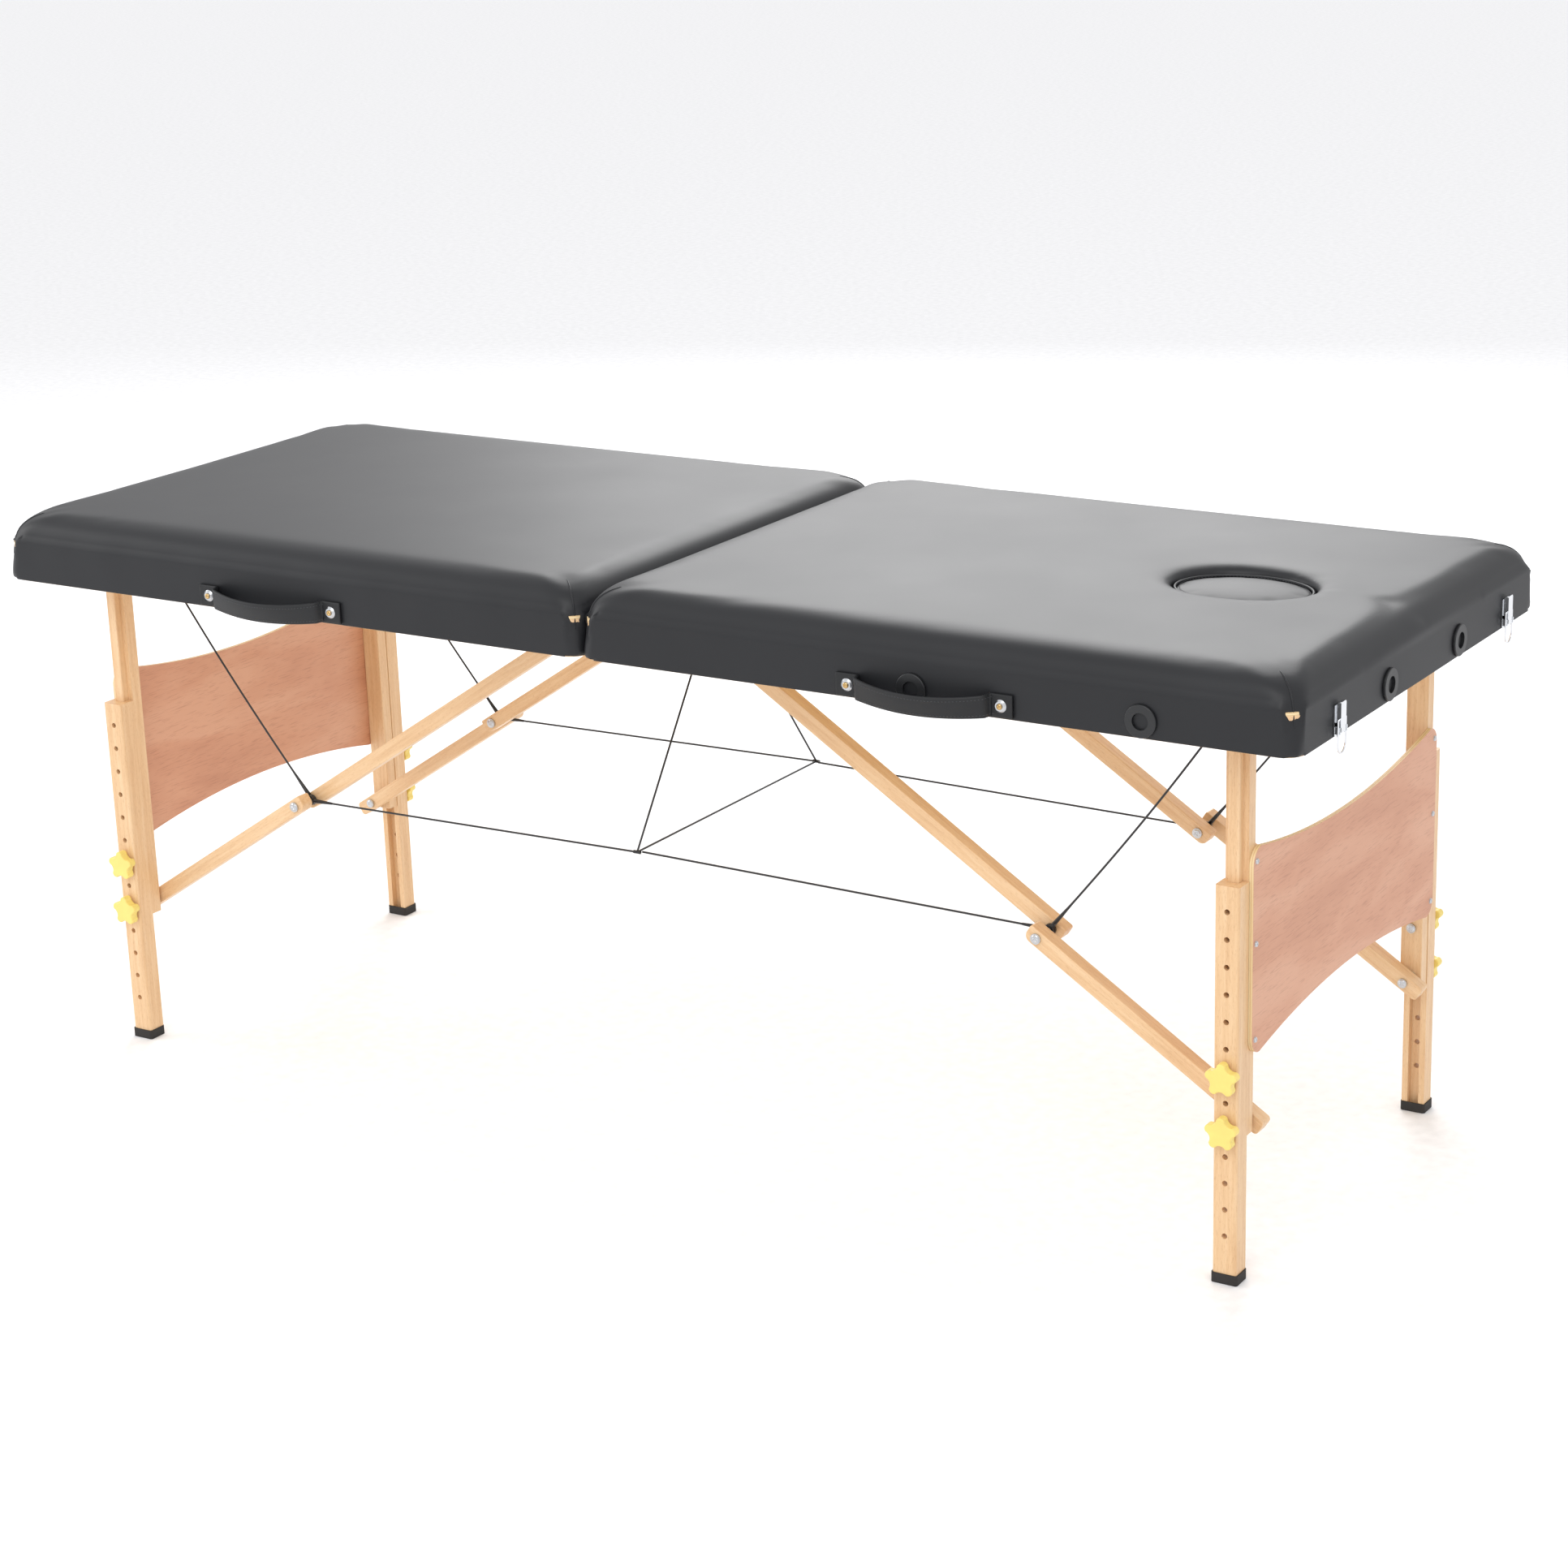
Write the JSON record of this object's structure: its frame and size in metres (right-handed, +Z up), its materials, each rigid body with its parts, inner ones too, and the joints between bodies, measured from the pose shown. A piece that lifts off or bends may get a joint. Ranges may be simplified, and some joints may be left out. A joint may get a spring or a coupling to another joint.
{
  "type": "portable massage table",
  "caption": "Two-part folding massage table: padded vinyl top with face hole and plug, beech legs with height holes, cable-tied folding braces and carrying straps.",
  "frame": {"origin": "on the floor, under the middle of the table, level with the soles of the four feet", "axes": "+X towards the head end with the face hole, +Y towards the far long side, +Z up"},
  "size_m": [1.8624, 0.7434, 0.74],
  "materials": {
    "beech": "satin",
    "plywood": "matte",
    "panel_ply": "satin",
    "foam": "matte",
    "vinyl": "satin",
    "zinc": "satin",
    "chrome": "polished",
    "cable": "satin",
    "strap": "matte",
    "grommet": "satin",
    "rubber": "matte",
    "knob_plastic": "satin"
  },
  "bodies": {
    "head_half": {"head_side_rails": "beech", "head_cross_members": "beech", "head_deck": "plywood", "head_foam": "foam", "head_cover": "vinyl", "head_hinge_leaves": "zinc", "head_handle": "strap", "head_fasteners": "zinc", "head_end_cables": "cable", "socket_liners": "grommet", "latch_bases": "chrome", "hinge_pins": "zinc"},
    "foot_half": {"foot_side_rails": "beech", "foot_cross_members": "beech", "foot_deck": "plywood", "foot_foam": "foam", "foot_cover": "vinyl", "foot_hinge_leaves": "zinc", "foot_handle": "strap", "foot_fasteners": "zinc", "foot_end_cables": "cable", "latch_keepers": "chrome"},
    "plug": {"face_plug": "vinyl"},
    "head_legs": {"head_uprights": "beech", "head_panel": "panel_ply", "head_leg_fasteners": "zinc"},
    "head_upper_brace_pair": {"head_upper_braces": "beech", "head_knee_barrels": "zinc"},
    "head_lower_brace_pair": {"head_lower_braces": "beech", "head_knee_screws": "zinc"},
    "head_cable_pair": {"head_centre_cables": "cable"},
    "head_extension_far_set": {"head_extension_far": "beech", "head_foot_cap_far": "rubber"},
    "head_knob_far_upper_set": {"head_knob_far_upper": "knob_plastic"},
    "head_knob_far_lower_set": {"head_knob_far_lower": "knob_plastic"},
    "head_extension_near_set": {"head_extension_near": "beech", "head_foot_cap_near": "rubber"},
    "head_knob_near_upper_set": {"head_knob_near_upper": "knob_plastic"},
    "head_knob_near_lower_set": {"head_knob_near_lower": "knob_plastic"},
    "foot_legs": {"foot_uprights": "beech", "foot_panel": "panel_ply", "foot_leg_fasteners": "zinc"},
    "foot_upper_brace_pair": {"foot_upper_braces": "beech", "foot_knee_barrels": "zinc"},
    "foot_lower_brace_pair": {"foot_lower_braces": "beech", "foot_knee_screws": "zinc"},
    "foot_cable_pair": {"foot_centre_cables": "cable"},
    "foot_extension_far_set": {"foot_extension_far": "beech", "foot_foot_cap_far": "rubber"},
    "foot_knob_far_upper_set": {"foot_knob_far_upper": "knob_plastic"},
    "foot_knob_far_lower_set": {"foot_knob_far_lower": "knob_plastic"},
    "foot_extension_near_set": {"foot_extension_near": "beech", "foot_foot_cap_near": "rubber"},
    "foot_knob_near_upper_set": {"foot_knob_near_upper": "knob_plastic"},
    "foot_knob_near_lower_set": {"foot_knob_near_lower": "knob_plastic"},
    "bridle_set": {"bridle": "cable"},
    "latch_lever_far_set": {"latch_lever_far": "chrome"},
    "latch_bail_far_set": {"latch_bail_far": "chrome"},
    "latch_lever_near_set": {"latch_lever_near": "chrome"},
    "latch_bail_near_set": {"latch_bail_near": "chrome"}
  },
  "joints": [
    {"name": "centre_fold", "type": "hinge", "parent": "head_half", "child": "foot_half", "pos_m": [0, 0, 0.648], "axis": [0, -1, 0], "range_deg": [0, 90]},
    {"name": "head_leg_fold", "type": "hinge", "parent": "head_half", "child": "head_legs", "pos_m": [0.818, 0, 0.67], "axis": [0, 1, 0], "range_deg": [0, 90]},
    {"name": "head_upper_brace_fold", "type": "hinge", "parent": "head_half", "child": "head_upper_brace_pair", "pos_m": [0.04, 0, 0.688], "axis": [0, -1, 0], "range_deg": [0, 32.26], "deforming": ["head_end_cables"]},
    {"name": "head_lower_brace_fold", "type": "hinge", "parent": "head_legs", "child": "head_lower_brace_pair", "pos_m": [0.818, 0, 0.189], "axis": [0, 1, 0], "range_deg": [0, 54.87]},
    {"name": "head_cable_fold", "type": "hinge", "parent": "head_upper_brace_pair", "child": "head_cable_pair", "pos_m": [0.55388, 0, 0.3584], "axis": [0, 1, 0], "range_deg": [0, 32.26]},
    {"name": "head_extension_far_slide", "type": "slide", "parent": "head_legs", "child": "head_extension_far_set", "axis": [0, 0, 1], "range_m": [-0.0975, 0.0975]},
    {"name": "head_knob_far_upper_turn", "type": "hinge", "parent": "head_legs", "child": "head_knob_far_upper_set", "pos_m": [0.818, 0.3, 0.254], "axis": [0, 1, 0], "continuous": true},
    {"name": "head_knob_far_lower_turn", "type": "hinge", "parent": "head_legs", "child": "head_knob_far_lower_set", "pos_m": [0.818, 0.3, 0.189], "axis": [0, 1, 0], "continuous": true},
    {"name": "head_extension_near_slide", "type": "slide", "parent": "head_legs", "child": "head_extension_near_set", "axis": [0, 0, 1], "range_m": [-0.0975, 0.0975]},
    {"name": "head_knob_near_upper_turn", "type": "hinge", "parent": "head_legs", "child": "head_knob_near_upper_set", "pos_m": [0.818, -0.3, 0.254], "axis": [0, 1, 0], "continuous": true},
    {"name": "head_knob_near_lower_turn", "type": "hinge", "parent": "head_legs", "child": "head_knob_near_lower_set", "pos_m": [0.818, -0.3, 0.189], "axis": [0, 1, 0], "continuous": true},
    {"name": "foot_leg_fold", "type": "hinge", "parent": "foot_half", "child": "foot_legs", "pos_m": [-0.818, 0, 0.67], "axis": [0, -1, 0], "range_deg": [0, 90]},
    {"name": "foot_upper_brace_fold", "type": "hinge", "parent": "foot_half", "child": "foot_upper_brace_pair", "pos_m": [-0.04, 0, 0.688], "axis": [0, 1, 0], "range_deg": [0, 32.26], "deforming": ["foot_end_cables"]},
    {"name": "foot_lower_brace_fold", "type": "hinge", "parent": "foot_legs", "child": "foot_lower_brace_pair", "pos_m": [-0.818, 0, 0.189], "axis": [0, -1, 0], "range_deg": [0, 54.87]},
    {"name": "foot_cable_fold", "type": "hinge", "parent": "foot_upper_brace_pair", "child": "foot_cable_pair", "pos_m": [-0.55388, 0, 0.3584], "axis": [0, -1, 0], "range_deg": [0, 32.26]},
    {"name": "foot_extension_far_slide", "type": "slide", "parent": "foot_legs", "child": "foot_extension_far_set", "axis": [0, 0, 1], "range_m": [-0.0975, 0.0975]},
    {"name": "foot_knob_far_upper_turn", "type": "hinge", "parent": "foot_legs", "child": "foot_knob_far_upper_set", "pos_m": [-0.818, 0.3, 0.254], "axis": [0, 1, 0], "continuous": true},
    {"name": "foot_knob_far_lower_turn", "type": "hinge", "parent": "foot_legs", "child": "foot_knob_far_lower_set", "pos_m": [-0.818, 0.3, 0.189], "axis": [0, 1, 0], "continuous": true},
    {"name": "foot_extension_near_slide", "type": "slide", "parent": "foot_legs", "child": "foot_extension_near_set", "axis": [0, 0, 1], "range_m": [-0.0975, 0.0975]},
    {"name": "foot_knob_near_upper_turn", "type": "hinge", "parent": "foot_legs", "child": "foot_knob_near_upper_set", "pos_m": [-0.818, -0.3, 0.254], "axis": [0, 1, 0], "continuous": true},
    {"name": "foot_knob_near_lower_turn", "type": "hinge", "parent": "foot_legs", "child": "foot_knob_near_lower_set", "pos_m": [-0.818, -0.3, 0.189], "axis": [0, 1, 0], "continuous": true},
    {"name": "bridle_fold", "type": "hinge", "parent": "foot_half", "child": "bridle_set", "pos_m": [-0.032, 0, 0.6592], "axis": [0, 1, 0], "range_deg": [0, 35.06]},
    {"name": "latch_lever_far_turn", "type": "hinge", "parent": "head_half", "child": "latch_lever_far_set", "pos_m": [0.9308, 0.25, 0.662], "axis": [0, 1, 0], "range_deg": [0, 100]},
    {"name": "latch_bail_far_swing", "type": "hinge", "parent": "latch_lever_far_set", "child": "latch_bail_far_set", "pos_m": [0.9308, 0.25, 0.674], "axis": [0, -1, 0], "range_deg": [0, 100]},
    {"name": "latch_lever_near_turn", "type": "hinge", "parent": "head_half", "child": "latch_lever_near_set", "pos_m": [0.9308, -0.25, 0.662], "axis": [0, 1, 0], "range_deg": [0, 100]},
    {"name": "latch_bail_near_swing", "type": "hinge", "parent": "latch_lever_near_set", "child": "latch_bail_near_set", "pos_m": [0.9308, -0.25, 0.674], "axis": [0, -1, 0], "range_deg": [0, 100]},
    {"name": "face_plug_lift", "type": "slide", "parent": "head_half", "child": "plug", "axis": [0, 0, 1], "range_m": [0, 0.06]}
  ],
  "couplings": [
    {"joint": "head_leg_fold", "follows": "centre_fold", "ratio": 1},
    {"joint": "head_upper_brace_fold", "follows": "centre_fold", "ratio": 0.35837},
    {"joint": "head_lower_brace_fold", "follows": "centre_fold", "ratio": 0.60954},
    {"joint": "head_cable_fold", "follows": "centre_fold", "ratio": 0.35837},
    {"joint": "foot_leg_fold", "follows": "centre_fold", "ratio": 1},
    {"joint": "foot_upper_brace_fold", "follows": "centre_fold", "ratio": 0.35837},
    {"joint": "foot_lower_brace_fold", "follows": "centre_fold", "ratio": 0.60954},
    {"joint": "foot_cable_fold", "follows": "centre_fold", "ratio": 0.35837},
    {"joint": "bridle_fold", "follows": "centre_fold", "ratio": 0.38944},
    {"joint": "latch_bail_far_swing", "follows": "latch_lever_far_turn", "ratio": 1},
    {"joint": "latch_bail_near_swing", "follows": "latch_lever_near_turn", "ratio": 1}
  ]
}
